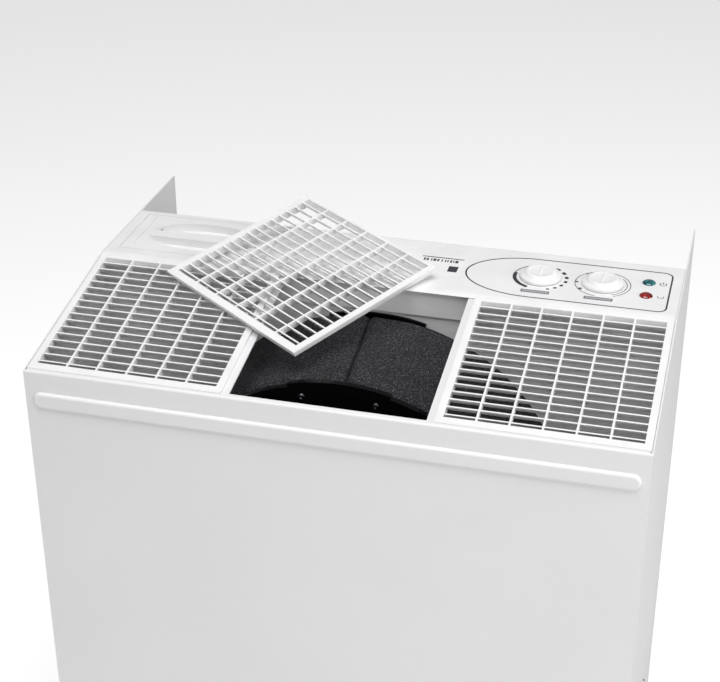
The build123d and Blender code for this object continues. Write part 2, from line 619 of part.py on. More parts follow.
def bulkhead():
    """Wall behind the drum, up to the console; its corners are cut back for the console's end skirts."""
    low = HEIGHT - SKIRT
    plate = block(-INSIDE, INSIDE, BULKHEAD_Y, BULKHEAD_Y + SHEET, SHELF_Z + SHEET, low + 8)
    plate -= rod_y(0, BULKHEAD_Y - 1, BULKHEAD_Y + 5, FAN_Z, BULKHEAD_HOLE_R)
    for side in (-1, 1):
        end = side * (INSIDE - 1.2 - CONSOLE_T)
        plate -= block(end, side * (INSIDE + 1), BULKHEAD_Y - 1, BULKHEAD_Y + 3, low - 1, HEIGHT)
    return plate


def shelf():
    plate = block(-INSIDE, INSIDE, FRONT_Y + SHEET + 12.5, BACK_Y - SHEET, SHELF_Z, SHELF_Z + SHEET)
    for x, y, r in pipe_holes():
        plate -= rod_z(x, y, SHELF_Z - 2, SHELF_Z + 4, r)
    return plate


# ---- coils
def coil_y(index):
    """Centre depth of a coil: 0 is the condenser next to the fan, 1 the evaporator."""
    return COIL_Y0 + COIL_D / 2 + index * (COIL_D + COIL_GAP)


def tube_z(row):
    return COIL_Z0 + COIL_H * (row + 0.5) / TUBE_ROWS


def coil_fins(index):
    y = coil_y(index)
    plate = Rot(0, 90, 0) * extrude(Rectangle(COIL_H, COIL_D), FIN_T / 2, both=True)
    for row in range(TUBE_ROWS):
        z = tube_z(row) - COIL_Z0 - COIL_H / 2
        plate -= rod_x(-2, 2, 0, z, TUBE_R + TUBE_FIT)
    step = (COIL_W - FIN_T) / (FINS - 1)
    fins = []
    for i in range(FINS):
        x = -COIL_W / 2 + FIN_T / 2 + i * step
        fins.append(Pos(x, y, COIL_Z0 + COIL_H / 2) * plate)
    return group(fins)


def coil_tube(index):
    """One serpentine tube; both its ends come out at the right."""
    y = coil_y(index)
    pitch = COIL_H / TUBE_ROWS
    tube = None
    for row in range(TUBE_ROWS):
        first_or_last = row in (0, TUBE_ROWS - 1)
        right = TUBE_END + (TUBE_OUT if first_or_last else 0)
        run = rod_x(-TUBE_END, right, y, tube_z(row), TUBE_R)
        tube = run if tube is None else tube + run
    for row in range(TUBE_ROWS - 1):
        side = -1 if row % 2 == 0 else 1
        mid = tube_z(row) + pitch / 2
        ring = Pos(side * TUBE_END, y, mid) * Rot(90, 0, 0) * Torus(pitch / 2, TUBE_R)
        keep = block(side * TUBE_END, side * (TUBE_END + 60), y - 20, y + 20, mid - 60, mid + 60)
        tube += ring & keep
    return tube


def coil_end_plates():
    plates = []
    for side in (-1, 1):
        x0 = side * (COIL_W / 2 + END_PLATE_OUT)
        plate = block(x0, x0 + side * SHEET, BULKHEAD_Y + SHEET, BACK_Y - SHEET, SHELF_Z + 2 * SHEET,
                      COIL_Z0 + COIL_H + 10)
        for index in (0, 1):
            for row in range(TUBE_ROWS):
                plate -= rod_x(x0 - 5, x0 + 5, coil_y(index), tube_z(row), TUBE_R + TUBE_FIT)
        plates.append(plate)
    return group(plates)


def drip_tray():
    y0, y1 = BULKHEAD_Y + SHEET, BACK_Y - SHEET
    floor_z = SHELF_Z + SHEET
    tray = block(-TRAY_X, TRAY_X, y0, y1, floor_z, floor_z + TRAY_WALL_H)
    tray -= block(-TRAY_X + SHEET, TRAY_X - SHEET, y0 + SHEET, y1 - SHEET, floor_z + SHEET, floor_z + 30)
    for side in (-1, 1):  # the coils' end plates stand in slots across it
        x0 = side * (COIL_W / 2 + END_PLATE_OUT)
        tray -= block(x0 - side * 0.1, x0 + side * (SHEET + 0.1), y0 - 1, y1 + 1, floor_z + SHEET, floor_z + 30)
    return tray - rod_z(SPOUT_X, BULKHEAD_Y + SPOUT_BACK, floor_z - 2, floor_z + 4, SPOUT_R - 2)


def drain_spout():
    """Runs from the tray down to a lip over the tank's inlet."""
    y = BULKHEAD_Y + SPOUT_BACK
    low = SHELF_Z - 22
    tube = rod_z(SPOUT_X, y, low, SHELF_Z + SHEET, SPOUT_R)
    tube += block(SPOUT_X - SPOUT_R, SPOUT_X + SPOUT_R, y - 52, y, low, low + 12)
    tube -= rod_z(SPOUT_X, y, low + 2, SHELF_Z + 4, SPOUT_R - 2)
    return tube - block(SPOUT_X - SPOUT_R + 2, SPOUT_X + SPOUT_R - 2, y - 50, y, low + 2, low + 10) - block(
        SPOUT_X - SPOUT_R + 2, SPOUT_X + SPOUT_R - 2, y - 50, y - 40, low - 1, low + 5)


# ---- machine compartment
def compressor():
    can = rod_z(COMP_X, COMP_Y, COMP_Z + 3, COMP_Z + 3 + COMP_H, COMP_R)
    can = fillet(can.edges().group_by(Axis.Z)[-1], 24.0)
    half = COMP_PLATE / 2
    foot = block(COMP_X - half, COMP_X + half, COMP_Y - half, COMP_Y + half, COMP_Z, COMP_Z + 3)
    foot = fillet(foot.edges().filter_by(Axis.Z), 18.0)
    seam_z = COMP_Z + 3 + COMP_H * 0.45
    can += rod_z(COMP_X, COMP_Y, seam_z, seam_z + 6, COMP_R + 3)
    cover = block(COMP_X - COMP_R - 24, COMP_X - COMP_R + 8, COMP_Y - 22, COMP_Y + 22, COMP_Z + 110, COMP_Z + 160)
    return can + foot + cover


def compressor_mounts():
    mounts = []
    at = COMP_PLATE / 2 - 16
    for sx in (-1, 1):
        for sy in (-1, 1):
            pad = rod_z(COMP_X + sx * at, COMP_Y + sy * at, PAN_Z + SHEET, COMP_Z, MOUNT_R)
            pad -= Pos(COMP_X + sx * at, COMP_Y + sy * at, PAN_Z + SHEET + MOUNT_H / 2) * (
                Cylinder(MOUNT_R + 2, 6) - Cylinder(MOUNT_R - 2.5, 7))
            mounts.append(pad)
    return group(mounts)


def pipe_route(name):
    top_row, low_row = tube_z(TUBE_ROWS - 1), tube_z(0)
    if name == "discharge":
        y, x = coil_y(0), PIPE_X
        return [(COIL_END_X, y, top_row), (x, y, top_row), (x, y, SHELF_Z - 22),
                (COMP_X + 20, y, SHELF_Z - 22), (COMP_X + 20, COMP_Y, SHELF_Z - 22), (COMP_X + 20, COMP_Y, COMP_TOP)]
    y, x = coil_y(1), PIPE_X
    return [(COIL_END_X, y, top_row), (x, y, top_row), (x, y, COMP_Z + 120), (x, COMP_Y, COMP_Z + 120),
            (COMP_X + COMP_R - 2, COMP_Y, COMP_Z + 120)]


def tube_along(points, r, bend):
    line = FilletPolyline(*points, radius=bend)
    start = Vector(*points[1]) - Vector(*points[0])
    return sweep(Plane(origin=points[0], z_dir=start) * Circle(r), path=line)


def pipe_holes():
    wide = PIPE_R + 2.0
    return [(PIPE_X, coil_y(0), wide), (PIPE_X, coil_y(1), wide),
            (SPOUT_X, BULKHEAD_Y + SPOUT_BACK, SPOUT_R + TUBE_FIT)]


def capillary():
    """Thin line from the condenser's lower end to the evaporator's, through the drier."""
    z = tube_z(0)
    y0, y1 = coil_y(0), coil_y(1)
    x = COIL_END_X
    drier = fillet(rod_x(x, x + 26, y0, z, 7.0).edges().filter_by(GeomType.CIRCLE), 2.5)
    line = tube_along([(x + 26, y0, z), (x + 40, y0, z), (x + 40, y1, z), (x, y1, z)], CAP_R, 6.0)
    cap = rod_x(x, x + 3, y1, z, TUBE_R)
    return drier + line + cap


def electrical_box():
    """Box for the wiring in the right front corner, on the base pan."""
    y0, y1 = FRONT_Y + 18, FRONT_Y + 112
    z0, z1 = PAN_Z + SHEET, PAN_Z + 190
    box = block(BOX_X0, BOX_X1, y0, y1, z0, z1)
    return box - block(BOX_X0 + 2, BOX_X1 - 2, y0 + 2, y1 - 2, z0 + 2, z1 + 1)


def box_lid():
    z1 = PAN_Z + 190
    return block(BOX_X0, BOX_X1, FRONT_Y + 18, FRONT_Y + 112, z1, z1 + 2)


def capacitor():
    z0 = PAN_Z + SHEET + 2
    can = rod_z((BOX_X0 + BOX_X1) / 2, FRONT_Y + 60, z0, z0 + 95, 21.0)
    return fillet(can.edges().filter_by(GeomType.CIRCLE), 2.0)


# ---- water tank: a drawer in the front panel
def water_tank():
    half = TANK_BODY_W / 2
    y0, y1 = TANK_Y0, TANK_Y0 + TANK_D
    z0, z1 = TANK_FLOOR, TANK_FLOOR + TANK_BODY_H
    body = block(TANK_X - half, TANK_X + half, y0, y1, z0, z1)
    body = fillet(body.edges().filter_by(Axis.Z).sort_by(Axis.Y)[-2:], 12.0)
    body -= block(TANK_X - half + TANK_WALL, TANK_X + half - TANK_WALL, y0 + TANK_WALL, y1 - TANK_WALL,
                  z0 + TANK_WALL, z1 + 1)
    ear_y = y1 - FLOAT_BACK
    for side in (-1, 1):
        ear = block(TANK_X + side * 18, TANK_X + side * 22, ear_y - 6, y1 - 2, z1 - FLOAT_DROP - 8, z1 - FLOAT_DROP + 8)
        body += ear
    return body - rod_x(TANK_X - 30, TANK_X + 30, ear_y, z1 - FLOAT_DROP, FLOAT_PIN_R + RUN_FIT)


def tank_front():
    w, h = TANK_W - 2 * TANK_GAP, TANK_H - 2 * TANK_GAP
    z0 = TANK_Z + TANK_GAP
    cover = block(TANK_X - w / 2, TANK_X + w / 2, FRONT_Y, TANK_Y0, z0, z0 + h)
    cover = fillet(cover.faces().sort_by(Axis.Y)[0].edges(), 1.2)
    top = z0 + h - HANDLE_DROP
    hold = block(TANK_X - 62, TANK_X + 62, FRONT_Y, FRONT_Y + 24, top - 34, top + 2)
    cover = cover + hold - block(TANK_X - 60, TANK_X + 60, FRONT_Y - 1, FRONT_Y + 22, top - 32, top)
    return cover


def float_pin():
    z1 = TANK_FLOOR + TANK_BODY_H
    return rod_x(TANK_X - 22, TANK_X + 22, TANK_Y0 + TANK_D - FLOAT_BACK, z1 - FLOAT_DROP, FLOAT_PIN_R)


def tank_float():
    """Hollow float on an arm that turns with its pin."""
    z = TANK_FLOOR + TANK_BODY_H - FLOAT_DROP
    y = TANK_Y0 + TANK_D - FLOAT_BACK
    arm = block(TANK_X - 10, TANK_X + 10, y - 60, y + 5, z - 4, z + 4)
    bob = block(TANK_X - 26, TANK_X + 26, y - 100, y - 55, z - 20, z + 8)
    bob = fillet(bob.edges(), 3.0)
    return arm + bob - rod_x(TANK_X - 30, TANK_X + 30, y, z, FLOAT_PIN_R)


def tank_rails():
    rails = []
    for side in (-1, 1):
        x = TANK_X + side * (TANK_BODY_W / 2 - 20)
        rails.append(block(x - 12, x + 12, FRONT_Y + SHEET + 2, TANK_Y0 + TANK_D + 14, PAN_Z + SHEET, TANK_FLOOR - SEAT))
    return group(rails)


# ---- inlet filter behind the rear panel
def filter_frame():
    half = FILTER_W / 2
    y0, y1 = FILTER_Y, FILTER_Y + FILTER_T
    frame = block(-half, half, y0, y1, FILTER_Z, FILTER_Z + FILTER_H)
    for column in range(2):
        x0 = -half + FILTER_RIM + column * (half - FILTER_RIM / 4)
        x1 = x0 + half - 1.25 * FILTER_RIM
        frame -= block(x0, x1, y0 - 1, y1 + 1, FILTER_Z + FILTER_RIM, FILTER_Z + FILTER_H - FILTER_RIM)
    tab = block(-40, 40, y0, y1 + 10, FILTER_Z + FILTER_H - 8, FILTER_Z + FILTER_H)
    return frame + tab


def filter_mesh():
    """Two thin sheets of filter gauze, one in each window of the frame."""
    half = FILTER_W / 2
    mid = FILTER_Y + FILTER_T / 2
    sheets = []
    for column in range(2):
        x0 = -half + FILTER_RIM + column * (half - FILTER_RIM / 4)
        x1 = x0 + half - 1.25 * FILTER_RIM
        sheets.append(block(x0, x1, mid - 0.5, mid + 0.5, FILTER_Z + FILTER_RIM, FILTER_Z + FILTER_H - FILTER_RIM))
    return group(sheets)


def filter_rails():
    half = FILTER_W / 2 + 0.6
    top = HEIGHT - SKIRT - 2
    rails = []
    for side in (-1, 1):
        x0, x1 = side * (half - 8), side * (half + RAIL_T)
        rail = block(x0, x1, BACK_Y, FILTER_Y + FILTER_T + 0.6 + RAIL_T, FILTER_Z - 6, top)
        rail -= block(side * (half - 20), side * half, BACK_Y - 1, FILTER_Y + FILTER_T + 0.6, FILTER_Z - SEAT, top + 1)
        rails.append(rail)
    return group(rails)


def main():
    right_side = side_panel()
    nodes = {
        "base_pan": base_pan(),
        "feet": feet(),
        "side_panel_right": right_side,
        "side_panel_left": mirrored(right_side),
        "side_screws": side_screws(),
        "front_panel": front_panel(),
        "rear_panel": rear_panel(),
        "cable_gland": cable_gland(),
        "wall_rail": wall_rail(),
        "top_frame": top_frame(),
        "console": console(),
        "console_lid": console_lid(),
        "humidity_knob": knob(DIAL_X[0]),
        "humidity_shaft": knob_shaft(DIAL_X[0]),
        "humidistat": switch_body(DIAL_X[0], 44, 40, 30),
        "fan_knob": knob(DIAL_X[1]),
        "fan_switch_shaft": knob_shaft(DIAL_X[1]),
        "fan_switch": switch_body(DIAL_X[1], 34, 34, 24),
        "tank_full_lens": lens(LENS_BACK[0]),
        "power_lens": lens(LENS_BACK[1]),
        "indicator_board": indicator_board(),
        "fan_shroud": fan_shroud(),
        "fan_front_ring": fan_front_ring(),
        "fan_ring_screws": fan_ring_screws(),
        "foam_wrap": foam_wrap(),
        "motor_bracket": motor_bracket(),
        "fan_motor": fan_motor(),
        "motor_shaft": motor_shaft(),
        "impeller": impeller(),
        "bulkhead": bulkhead(),
        "shelf": shelf(),
        "condenser_fins": coil_fins(0),
        "condenser_tube": coil_tube(0),
        "evaporator_fins": coil_fins(1),
        "evaporator_tube": coil_tube(1),
        "coil_end_plates": coil_end_plates(),
        "drip_tray": drip_tray(),
        "drain_spout": drain_spout(),
        "compressor": compressor(),
        "compressor_mounts": compressor_mounts(),
        "discharge_pipe": tube_along(pipe_route("discharge"), PIPE_R, 10.0),
        "suction_pipe": tube_along(pipe_route("suction"), PIPE_R, 10.0),
        "capillary_line": capillary(),
        "electrical_box": electrical_box(),
        "electrical_box_lid": box_lid(),
        "capacitor": capacitor(),
        "water_tank": water_tank(),
        "tank_front": tank_front(),
        "tank_float": tank_float(),
        "float_pin": float_pin(),
        "tank_rails": tank_rails(),
        "filter_frame": filter_frame(),
        "filter_mesh": filter_mesh(),
        "filter_rails": filter_rails(),
    }
    louvre = grille()
    nodes["grille_left"] = seated(louvre, -1)
    nodes["grille_right"] = seated(louvre, 1)
    nodes["grille_centre"] = lifted_out(louvre)
    for node, shape in nodes.items():
        save(shape, node)


main()
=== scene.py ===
import json
import math
import random

import bmesh
import bpy
from mathutils import Matrix, Vector


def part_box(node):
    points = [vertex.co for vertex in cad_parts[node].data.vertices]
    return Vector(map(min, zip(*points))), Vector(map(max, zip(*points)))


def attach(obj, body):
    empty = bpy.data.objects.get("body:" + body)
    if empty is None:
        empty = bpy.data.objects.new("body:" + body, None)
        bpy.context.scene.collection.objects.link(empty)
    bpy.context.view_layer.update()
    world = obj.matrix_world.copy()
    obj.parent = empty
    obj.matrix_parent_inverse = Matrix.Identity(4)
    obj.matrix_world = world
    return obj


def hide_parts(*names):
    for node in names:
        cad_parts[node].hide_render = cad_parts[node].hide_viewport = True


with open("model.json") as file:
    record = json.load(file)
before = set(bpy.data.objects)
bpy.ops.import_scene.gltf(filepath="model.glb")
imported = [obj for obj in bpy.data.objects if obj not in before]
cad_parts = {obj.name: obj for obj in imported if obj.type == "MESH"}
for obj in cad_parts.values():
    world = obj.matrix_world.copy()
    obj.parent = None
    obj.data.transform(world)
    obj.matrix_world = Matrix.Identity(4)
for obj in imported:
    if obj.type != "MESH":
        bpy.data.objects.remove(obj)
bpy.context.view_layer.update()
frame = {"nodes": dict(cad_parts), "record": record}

MM = 0.001
NODES = frame["nodes"]
SCENE = bpy.context.scene

# ---- places, from the frame
CONSOLE_LOW, CONSOLE_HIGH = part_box("console")
TOP_Z = CONSOLE_HIGH.z  # the console's top face
CONSOLE_Y = CONSOLE_LOW.y  # its front edge
PANEL_LOW, PANEL_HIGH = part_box("front_panel")
WALL_LOW, WALL_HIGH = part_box("side_panel_right")
DRUM_LOW, DRUM_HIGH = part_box("fan_shroud")
DRUM_Z = (DRUM_LOW.z + DRUM_HIGH.z) / 2
FOAM_LOW, FOAM_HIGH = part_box("foam_wrap")
RING_LOW, RING_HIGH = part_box("fan_front_ring")


def centre(node):
    low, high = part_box(node)
    return (low + high) / 2


# ---- the camera stands to the right of the middle and looks down on the top
CAMERA_AT = Vector((0.3675, -1.4527, 1.5210))
CAMERA_AZIMUTH = 14.95
CAMERA_DOWN = 28.43
CAMERA_ROLL = -0.18
LENS_MM = 81.05


def camera():
    data = bpy.data.cameras.new("camera")
    data.lens = LENS_MM
    data.sensor_width = 36.0
    data.clip_end = 50.0
    eye = bpy.data.objects.new("camera", data)
    turn = Matrix.Rotation(math.radians(CAMERA_AZIMUTH), 4, "Z")
    tilt = Matrix.Rotation(math.radians(90 - CAMERA_DOWN), 4, "X")
    roll = Matrix.Rotation(math.radians(CAMERA_ROLL), 4, "Z")
    eye.matrix_world = Matrix.Translation(CAMERA_AT) @ turn @ tilt @ roll
    SCENE.collection.objects.link(eye)
    SCENE.camera = eye


def area_light(name, place, aim, size, watts, colour=(1, 1, 1)):
    data = bpy.data.lights.new(name, "AREA")
    data.shape = "RECTANGLE"
    data.size, data.size_y = size
    data.energy = watts
    data.color = colour
    lamp = bpy.data.objects.new(name, data)
    lamp.location = place
    lamp.rotation_euler = (Vector(aim) - Vector(place)).to_track_quat("-Z", "Y").to_euler()
    SCENE.collection.objects.link(lamp)


def studio():
    """A dim white room, a large soft light overhead, a low one in front and one from the right."""
    world = bpy.data.worlds.new("studio")
    world.use_nodes = True
    world.node_tree.nodes["Background"].inputs["Color"].default_value = (1, 1, 1, 1)
    world.node_tree.nodes["Background"].inputs["Strength"].default_value = 0.2
    SCENE.world = world
    middle = (0, 0, TOP_Z)
    area_light("overhead", (0.1, -0.75, 2.9), middle, (2.2, 1.6), 49.0)
    area_light("from_front", (0.9, -2.6, 0.5), (0, 0, 0.5), (1.6, 0.9), 15.0)
    area_light("from_right", (2.6, -0.3, 1.6), middle, (1.2, 1.6), 25.0)
    SCENE.view_settings.view_transform = "Standard"


# ---- material helpers
def rgb(code, alpha=1.0):
    """Linear colour from an sRGB hex value such as "d8d8d6"."""
    parts = [int(code[i:i + 2], 16) / 255 for i in (0, 2, 4)]
    return tuple(v / 12.92 if v <= 0.04045 else ((v + 0.055) / 1.055) ** 2.4 for v in parts) + (alpha,)


def add(tree, kind, inputs=None, **settings):
    """Adds a node with its settings; an input is a value, or the socket that feeds it."""
    made = tree.nodes.new(kind)
    for key, value in settings.items():
        setattr(made, key, value)
    for key, value in (inputs or {}).items():
        if isinstance(value, bpy.types.NodeSocket):
            tree.links.new(value, made.inputs[key])
        else:
            made.inputs[key].default_value = value
    return made


def material(name, roughness=0.5, metallic=0.0, **sockets):
    made = bpy.data.materials.new(name)
    made.use_nodes = True
    shader = made.node_tree.nodes["Principled BSDF"]
    shader.inputs["Roughness"].default_value = roughness
    shader.inputs["Metallic"].default_value = metallic
    for key, value in sockets.items():
        shader.inputs[key.replace("_", " ")].default_value = value
    return made, made.node_tree, shader


def coordinates(tree):
    return add(tree, "ShaderNodeTexCoord").outputs["Object"]


def ramp(tree, factor, stops):
    """A colour ramp; each stop is (position, colour)."""
    made = add(tree, "ShaderNodeValToRGB", {"Fac": factor})
    elements = made.color_ramp.elements
    elements[0].position, elements[0].color = stops[0]
    elements[1].position, elements[1].color = stops[-1]
    for position, colour in stops[1:-1]:
        extra = elements.new(position)
        extra.color = colour
    return made.outputs["Color"]


def noise(tree, size_mm, detail=2.0, roughness=0.5):
    """Noise whose largest lumps are about size_mm across."""
    return add(tree, "ShaderNodeTexNoise", {"Vector": coordinates(tree), "Scale": 1 / (size_mm * MM),
                                            "Detail": detail, "Roughness": roughness}).outputs["Fac"]


def bump(tree, shader, height, depth_mm, strength=1.0):
    made = add(tree, "ShaderNodeBump", {"Height": height, "Distance": depth_mm * MM, "Strength": strength})
    tree.links.new(made.outputs["Normal"], shader.inputs["Normal"])


def mottled(tree, shader, dark, light, size_mm, detail=3.0):
    """Base colour that drifts between two near shades."""
    tree.links.new(ramp(tree, noise(tree, size_mm, detail), [(0.35, rgb(dark)), (0.65, rgb(light))]),
                   shader.inputs["Base Color"])


# ---- materials, named for what the real ones are
def powder_coated_steel():
    """Polyester powder coat on sheet steel: even white with a faint orange peel and a soft gloss."""
    made, tree, shader = material("powder_coated_steel", roughness=0.38, Coat_Weight=0.15, Coat_Roughness=0.25)
    mottled(tree, shader, "ebebec", "ededee", 150)
    bump(tree, shader, noise(tree, 1.6, 1.0), 0.02, 0.35)
    tree.links.new(add(tree, "ShaderNodeMapRange", {"Value": noise(tree, 25, 3.0), "To Min": 0.34,
                                                   "To Max": 0.42}).outputs["Result"], shader.inputs["Roughness"])
    return made


def moulded_abs(name, dark, light, roughness, grain_mm=0.8):
    """Injection-moulded ABS: an even colour with a very fine spark-eroded texture."""
    made, tree, shader = material(name, roughness=roughness)
    mottled(tree, shader, dark, light, 35)
    bump(tree, shader, noise(tree, grain_mm, 2.0), 0.012, 0.4)
    return made


def zinc_coated_steel():
    """Hot-dip galvanised sheet: dull blue-grey with large soft crystals, the spangle."""
    made, tree, shader = material("zinc_coated_steel", roughness=0.42, metallic=1.0)
    cells = add(tree, "ShaderNodeTexVoronoi", {"Vector": coordinates(tree), "Scale": 1 / (9 * MM)})
    grey = add(tree, "ShaderNodeRGBToBW", {"Color": cells.outputs["Color"]}).outputs["Val"]
    tree.links.new(ramp(tree, grey, [(0.2, rgb("a9adb0")), (0.8, rgb("c3c6c8"))]), shader.inputs["Base Color"])
    tree.links.new(add(tree, "ShaderNodeMapRange", {"Value": grey, "To Min": 0.34, "To Max": 0.5}).outputs["Result"],
                   shader.inputs["Roughness"])
    bump(tree, shader, noise(tree, 3.0), 0.01, 0.3)
    return made


def machined_steel(name, dark, light):
    """Plated or blackened screw and shaft steel with fine turning marks that catch small glints."""
    made, tree, shader = material(name, roughness=0.28, metallic=1.0)
    mottled(tree, shader, dark, light, 3)
    bump(tree, shader, noise(tree, 0.6), 0.01, 0.3)
    return made


def glossy_black_abs():
    """Gloss black ABS of the fan housing: almost black, with sharp reflections and light dust."""
    made, tree, shader = material("glossy_black_abs", roughness=0.16, Specular_IOR_Level=0.22)
    dust = noise(tree, 0.9, 4.0, 0.7)
    tree.links.new(ramp(tree, dust, [(0.66, rgb("050508")), (0.85, rgb("232328"))]), shader.inputs["Base Color"])
    tree.links.new(add(tree, "ShaderNodeMapRange", {"Value": noise(tree, 30, 3.0), "To Min": 0.1,
                                                   "To Max": 0.26}).outputs["Result"], shader.inputs["Roughness"])
    bump(tree, shader, noise(tree, 14, 1.0), 0.05, 0.25)
    return made


def charcoal_foam():
    """Open-cell polyurethane foam: charcoal, matt, with pores that read as a pale and dark speckle."""
    made, tree, shader = material("charcoal_foam", roughness=0.97, Specular_IOR_Level=0.15)
    pores = add(tree, "ShaderNodeTexVoronoi", {"Vector": coordinates(tree), "Scale": 1 / (1.5 * MM)})
    speck = add(tree, "ShaderNodeMath", {0: pores.outputs["Distance"], 1: noise(tree, 2.2, 4.0, 0.75)},
                operation="MULTIPLY").outputs["Value"]
    drift = add(tree, "ShaderNodeMapRange", {"Value": noise(tree, 45, 2.0), "To Min": 0.4,
                                             "To Max": 0.6}).outputs["Result"]
    mixed = add(tree, "ShaderNodeMath", {0: speck, 1: drift}, operation="MULTIPLY").outputs["Value"]
    tree.links.new(ramp(tree, mixed, [(0.03, rgb("161618")), (0.13, rgb("343437")), (0.26, rgb("5e5e62"))]),
                   shader.inputs["Base Color"])
    bump(tree, shader, speck, 0.9, 0.9)
    return made


def tinted_lens(name, deep, lit_facet_colour):
    """Clear polycarbonate lens over a coloured cap: deep colour, moulded facets, a wet shine, and painted highlights,
    some facets being painted lighter as if they catch the light.
    """
    made, tree, shader = material(name, roughness=0.08, Coat_Weight=1.0, Coat_Roughness=0.03)
    cells = add(tree, "ShaderNodeTexVoronoi", {"Vector": coordinates(tree), "Scale": 1 / (2.4 * MM)})
    value = add(tree, "ShaderNodeRGBToBW", {"Color": cells.outputs["Color"]}).outputs["Val"]
    # painted highlight: each facet gets its own shade between the deep colour and a lighter one, standing in for light
    # caught by the facets
    tree.links.new(ramp(tree, value, [(0.3, rgb(deep)), (0.75, rgb(lit_facet_colour))]), shader.inputs["Base Color"])
    bump(tree, shader, cells.outputs["Distance"], 0.5, 0.5)
    return made


def screen_ink():
    """Dark grey screen-printing ink, flat and matt, a little thin in places."""
    made, tree, shader = material("screen_printed_ink", roughness=0.55)
    mottled(tree, shader, "2e2f35", "46474d", 1.2)
    return made


def pale_ink():
    """The same ink printed as a fine half-tone, which reads as light grey."""
    made, tree, shader = material("half_tone_ink", roughness=0.55)
    mottled(tree, shader, "9a9ba1", "b2b3b8", 1.0)
    return made


def moulded_rubber():
    """Black nitrile rubber of feet and mounts, matt with a bloom."""
    made, tree, shader = material("moulded_rubber", roughness=0.8)
    mottled(tree, shader, "1c1c1d", "2a2a2b", 8)
    bump(tree, shader, noise(tree, 1.0), 0.05, 0.3)
    return made


def enamelled_can():
    """Black stove enamel on the compressor and motor: semi-gloss with a slight peel."""
    made, tree, shader = material("black_stove_enamel", roughness=0.32)
    mottled(tree, shader, "16171a", "222327", 20)
    bump(tree, shader, noise(tree, 2.5), 0.04, 0.3)
    return made


def mill_aluminium():
    """Thin mill-finish aluminium fin stock with faint rolling lines."""
    made, tree, shader = material("mill_finish_aluminium", roughness=0.3, metallic=1.0)
    lines = add(tree, "ShaderNodeTexWave", {"Vector": coordinates(tree), "Scale": 1 / (6 * MM), "Distortion": 3.0},
                bands_direction="Z").outputs["Fac"]
    tree.links.new(ramp(tree, lines, [(0.0, rgb("b4b7ba")), (1.0, rgb("cdd0d2"))]), shader.inputs["Base Color"])
    return made


def drawn_copper():
    """Refrigeration copper: warm, slightly dulled where it was handled."""
    made, tree, shader = material("drawn_copper_tube", roughness=0.3, metallic=1.0)
    mottled(tree, shader, "9c5636", "c98560", 18)
    bump(tree, shader, noise(tree, 2.0), 0.02, 0.2)
    return made


def filter_gauze():
    """Woven nylon gauze; its 0.5 mm threads are drawn 2 mm apart so that the weave shows."""
    made, tree, shader = material("woven_nylon_gauze", roughness=0.7)
    parts = add(tree, "ShaderNodeSeparateXYZ", {"Vector": coordinates(tree)})
    waves = []
    for axis in ("X", "Z"):
        turned = add(tree, "ShaderNodeMath", {0: parts.outputs[axis], 1: math.pi / MM}, operation="MULTIPLY")
        waves.append(add(tree, "ShaderNodeMath", {0: turned.outputs["Value"]}, operation="SINE").outputs["Value"])
    weave = add(tree, "ShaderNodeMath", {0: waves[0], 1: waves[1]}, operation="MAXIMUM").outputs["Value"]
    tree.links.new(ramp(tree, weave, [(0.3, rgb("17181a")), (0.9, rgb("4b4d50"))]), shader.inputs["Base Color"])
    bump(tree, shader, weave, 0.3, 0.8)
    return made


def natural_polypropylene():
    """Natural polypropylene of the tank: milky and slightly see-through."""
    made, tree, shader = material("natural_polypropylene", roughness=0.4, Subsurface_Weight=0.2,
                                  Subsurface_Radius=(0.01, 0.01, 0.01))
    mottled(tree, shader, "c7cccf", "d6dadc", 50)
    bump(tree, shader, noise(tree, 5.0), 0.05, 0.2)
    return made


def circuit_board():
    """Green solder mask with a fine track pattern."""
    made, tree, shader = material("green_circuit_board", roughness=0.35)
    cells = add(tree, "ShaderNodeTexVoronoi", {"Vector": coordinates(tree), "Scale": 1 / (3 * MM)},
                distance="CHEBYCHEV")
    tree.links.new(ramp(tree, cells.outputs["Distance"], [(0.2, rgb("2f7a46")), (0.5, rgb("14502a"))]),
                   shader.inputs["Base Color"])
    return made


def floor_paint():
    """Plain pale studio floor; the eye sees it blown out to an even near-white, as a lit backdrop is."""
    made, tree, shader = material("pale_floor", roughness=0.9, Emission_Color=(1, 1, 1, 1))
    mottled(tree, shader, "f7f7f7", "f8f8f8", 900)
    seen = add(tree, "ShaderNodeLightPath").outputs["Is Camera Ray"]
    glow = add(tree, "ShaderNodeMath", {0: seen, 1: 0.5}, operation="MULTIPLY")
    tree.links.new(glow.outputs["Value"], shader.inputs["Emission Strength"])
    return made


PAINT = powder_coated_steel()
ABS_WHITE = moulded_abs("white_moulded_abs", "ededee", "f3f3f3", 0.42)
ABS_GRILLE = moulded_abs("white_grille_abs", "f0f0f0", "f6f6f6", 0.36, 1.1)
ABS_BLACK = glossy_black_abs()
ABS_GREY = moulded_abs("grey_runner_polymer", "a9abae", "b6b8ba", 0.5)
ZINC = zinc_coated_steel()
STEEL = machined_steel("zinc_plated_fasteners", "b9bbbf", "d2d3d6")
BLACK_STEEL = machined_steel("blackened_fasteners", "38383c", "5c5c61")
FOAM = charcoal_foam()
INK = screen_ink()
HALF_TONE = pale_ink()
RUBBER = moulded_rubber()
ENAMEL = enamelled_can()
ALUMINIUM = mill_aluminium()
COPPER = drawn_copper()
GAUZE = filter_gauze()
TANK_POLYMER = natural_polypropylene()
BOARD = circuit_board()
# the second colour of each lens is the painted highlight of its lit facets
GREEN = tinted_lens("green_tinted_lens", "043a40", "1c7f84")
RED = tinted_lens("red_tinted_lens", "5e0408", "b81a1c")

